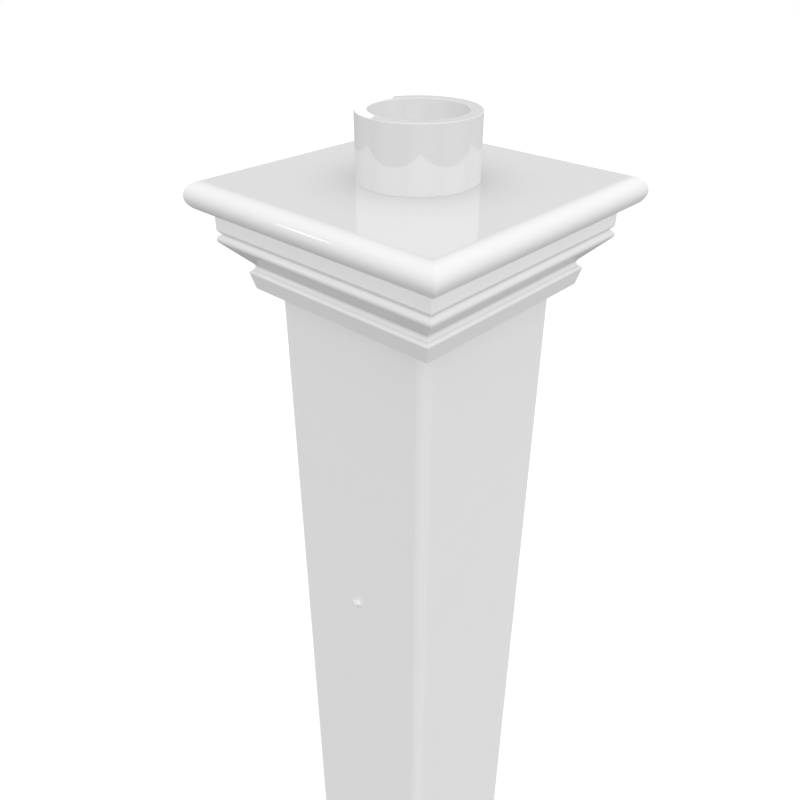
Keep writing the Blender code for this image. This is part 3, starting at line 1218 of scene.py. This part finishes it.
def screw_outline(length, head_r):
    """Half a pan-head screw from its tip down to its head, whose seat is at height 0."""
    root_r = SHANK_R - THREAD_DEPTH
    height = length - SCREW_TIP
    points = [(0.0, length), (root_r, height)]
    while height - THREAD_PITCH > THREAD_STOP:
        points.append((SHANK_R, height - 0.3 * THREAD_PITCH))
        points.append((root_r, height - 0.6 * THREAD_PITCH))
        height -= THREAD_PITCH
        points.append((root_r, height))
    points += [(SHANK_R, BARE_SHANK), (SHANK_R, 0.0), (head_r - HEAD_EASE, 0.0)]
    rim = 0.35 * HEAD_HEIGHT
    points += [(head_r, -HEAD_EASE), (head_r, -rim)]
    dome = HEAD_HEIGHT - rim
    for turn in range(15, 90, 15):
        a = math.radians(turn)
        points.append((head_r * math.cos(a) ** DOME_FULLNESS, -rim - dome * math.sin(a)))
    points.append((0.0, -HEAD_HEIGHT))
    return [Vector(p) for p in points]


def screw_row(name, nodes, driven, head_r, body, finish, recess=0.9 * MM):
    """One piece for a row of like screws. Driven is the way each screw's tip points."""
    places = []
    for node, way in zip(nodes, driven):
        low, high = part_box(node)
        middle = (low + high) / 2
        reach = abs((high - low).dot(way))
        places.append(middle - way * (reach / 2 - HEAD_HEIGHT))
    spots = bpy.data.meshes.new(name + "_places")
    spots.from_pydata(places, [], [])
    driven_way = spots.attributes.new("driven", "FLOAT_VECTOR", "POINT")
    for point, way in zip(driven_way.data, driven):
        point.vector = way
    holder = bpy.data.objects.new(name + "_places", spots)
    bpy.context.scene.collection.objects.link(holder)
    outline = drawn(name + "_outline", screw_outline(reach - HEAD_HEIGHT, head_r), closed=False)
    made = grow(
        name,
        screws,
        {
            "Outline": outline,
            "Places": holder,
            "Recess Width": recess,
            "Recess Span": 1.15 * head_r,
            "Head Height": HEAD_HEIGHT,
            "Finish": finish,
        },
        body,
        nodes,
    )
    bpy.data.objects.remove(outline)
    bpy.data.objects.remove(holder)
    return made


HIDDEN_HEAD_R = 4.0 * MM
FACE_HEAD_R = 3.4 * MM
for kind in ("deck_screw", "collar_screw"):
    screw_row(
        kind + "_row",
        [f"{kind}_{number}" for number in range(1, 5)],
        [Vector((0, 0, 1))] * 4,
        HIDDEN_HEAD_R,
        "cap",
        zinc_plate,
    )
screw_row(
    "post_face_screws",
    ["face_screw_front", "face_screw_back"],
    [Vector((0, 1, 0)), Vector((0, -1, 0))],
    FACE_HEAD_R,
    "post",
    screw_paint,
    recess=0.8 * MM,
)

# %% [markdown]
# ## Pieces that stay as the model made them
# The deck plate and the stiffener block are plain sawn boards, so the model's own solids are
# right. They only need the finish of cellular vinyl board.

# %% Finish the plain boards
for node in ("deck_plate", "stiffener_block"):
    for holder in frame["nodes"][node].material_slots:
        holder.material = foam_board
    print(node, "is now", foam_board.name)

# %% [markdown]
# ## Which pieces stop or take a lamp's light
# Light linking is a picture-maker's device that real lamps don't have. The softbox is stopped by
# the collar and the crown only, so soft shade gathers at the collar's foot and over the drip band
# and nowhere else. The back panel lights the collar only, which keeps its glint off the board.

# %% Light linking
stoppers = bpy.data.collections.new("softbox_stoppers")
for piece in bpy.data.objects:
    if piece.name.startswith(("lantern_collar", "trim_crown")):
        stoppers.objects.link(piece)
bpy.data.objects["overhead_softbox"].light_linking.blocker_collection = stoppers

collar_only = bpy.data.collections.new("lit_by_back_panel")
collar_only.objects.link(bpy.data.objects["lantern_collar"])
bpy.data.objects["back_panel"].light_linking.receiver_collection = collar_only
print("the back panel shows only in the collar")
